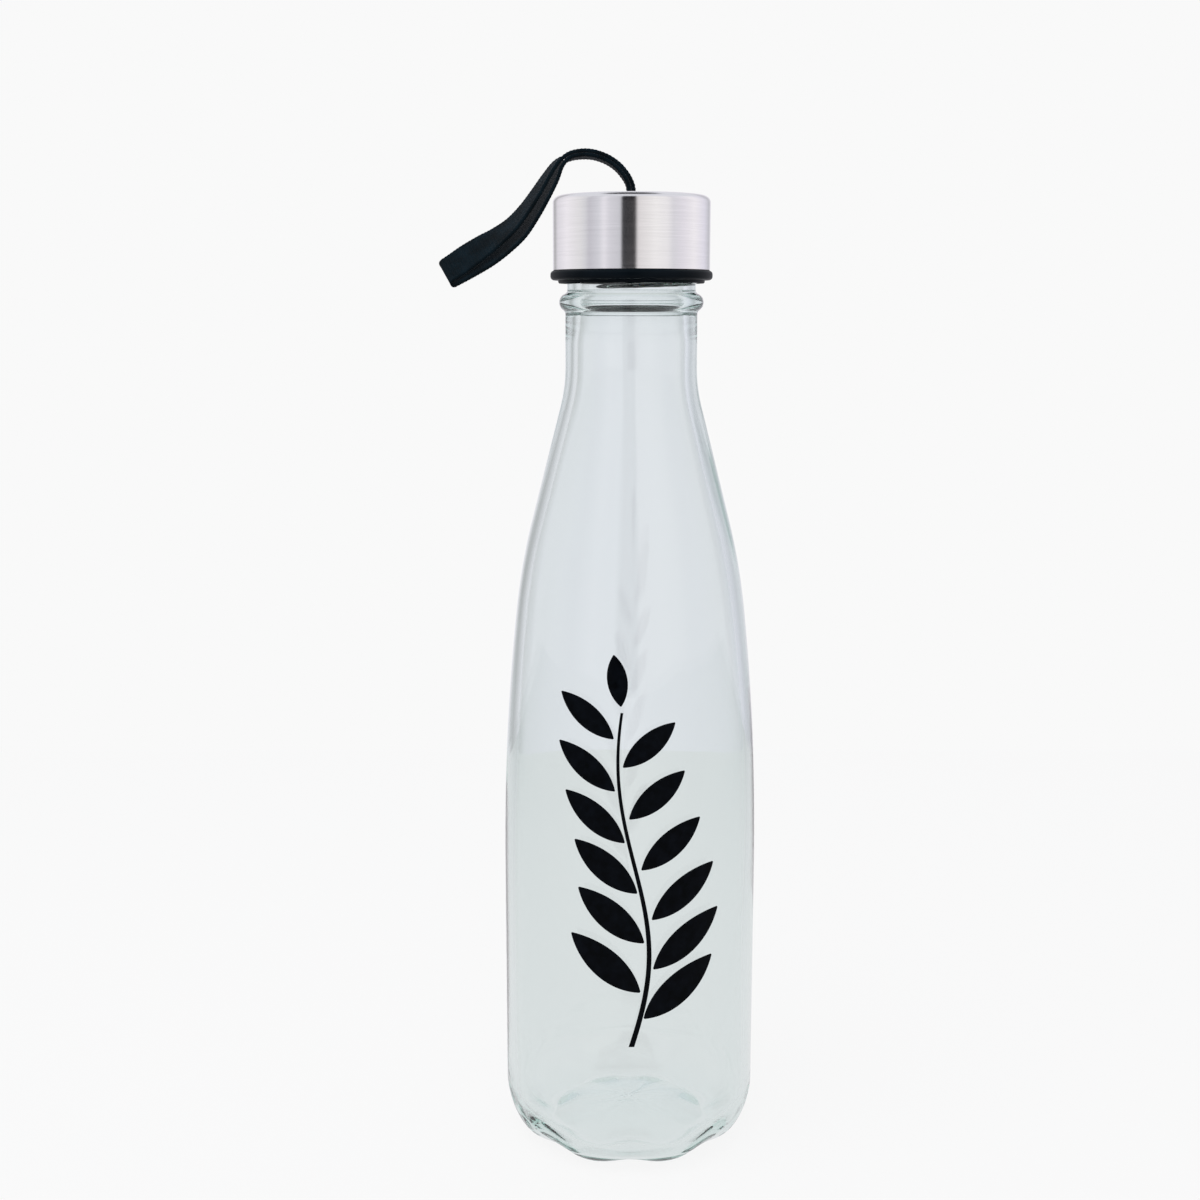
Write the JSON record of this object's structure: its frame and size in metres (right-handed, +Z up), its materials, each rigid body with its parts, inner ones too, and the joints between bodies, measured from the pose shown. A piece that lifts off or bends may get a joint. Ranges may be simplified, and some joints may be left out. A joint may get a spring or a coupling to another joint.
{
  "type": "glass water bottle",
  "caption": "Glass water bottle with a fluted heel, a tapered neck and a steel-clad screw cap that carries a webbing loop.",
  "frame": {"origin": "centre of the base on the bottle's axis, on the plane it stands on", "axes": "+Z up the bottle's axis to the cap, -Y to the side with the printed motif, -X to the side the carry loop hangs on"},
  "size_m": [0.0848, 0.0697, 0.2721],
  "materials": {
    "glass": "polished",
    "ink": "screen-printed ink",
    "steel": "brushed round the axis",
    "black_plastic": "satin",
    "silicone": "matte",
    "webbing": "ribbed weave"
  },
  "bodies": {
    "bottle": {"bottle_glass": "glass", "printed_motif": "ink"},
    "seal": {"seal_ring": "silicone"},
    "cap": {"cap_shell": "steel", "inner_cap": "black_plastic", "strap_pin": "steel", "strap_tail": "webbing"},
    "strap": {"strap_loop": "webbing"}
  },
  "joints": [
    {"name": "cap_rise", "type": "slide", "parent": "bottle", "child": "seal", "axis": [0, 0, 1], "range_m": [0, 0.017]},
    {"name": "cap_turn", "type": "hinge", "parent": "seal", "child": "cap", "pos_m": [0, 0, 0.25], "axis": [0, 0, 1], "range_deg": [0, 1440]},
    {"name": "strap_swing", "type": "hinge", "parent": "cap", "child": "strap", "pos_m": [0, 0, 0.26163], "axis": [0, 1, 0], "range_deg": [0, 100]}
  ],
  "couplings": [
    {"joint": "cap_rise", "follows": "cap_turn", "m_per_rad": 0.00067323}
  ]
}
